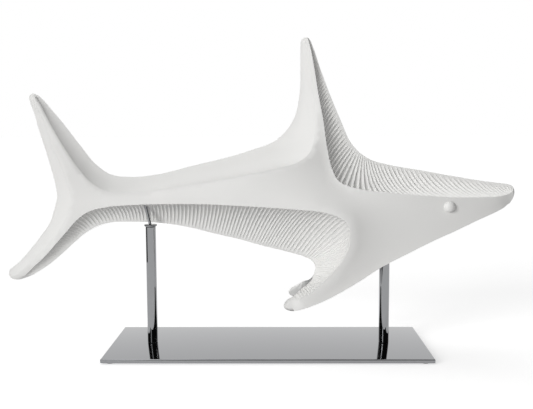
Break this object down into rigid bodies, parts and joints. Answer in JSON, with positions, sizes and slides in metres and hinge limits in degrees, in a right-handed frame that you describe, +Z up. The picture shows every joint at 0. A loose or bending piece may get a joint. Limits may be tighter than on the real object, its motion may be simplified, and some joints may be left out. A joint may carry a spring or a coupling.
{
  "type": "shark figurine",
  "caption": "Stylised shark in matt white casting with fluted coves, pinned on round posts above a mirror-polished rectangular plate.",
  "frame": {"origin": "on the surface that the feet stand on, under the middle of the whole object's box", "axes": "+X along the stand towards the nose end, +Z up, -Y towards the viewer of the picture; the figure is turned 5.5 degrees about Z on its pins, nose towards -Y"},
  "size_m": [0.6366, 0.146, 0.3861],
  "materials": {
    "matt_white_casting": "matt",
    "mirror_steel": "mirror polished",
    "screw_steel": "plain",
    "foot_rubber": "matt"
  },
  "bodies": {
    "root": {"shark_body": "matt_white_casting", "base_plate": "mirror_steel", "rear_post": "mirror_steel", "front_post": "mirror_steel", "rear_cap": "mirror_steel", "front_cap": "mirror_steel", "rear_pin": "mirror_steel", "front_pin": "mirror_steel", "rear_post_screw": "screw_steel", "front_post_screw": "screw_steel", "foot_left_near": "foot_rubber", "foot_left_far": "foot_rubber", "foot_right_near": "foot_rubber", "foot_right_far": "foot_rubber"}
  },
  "joints": []
}
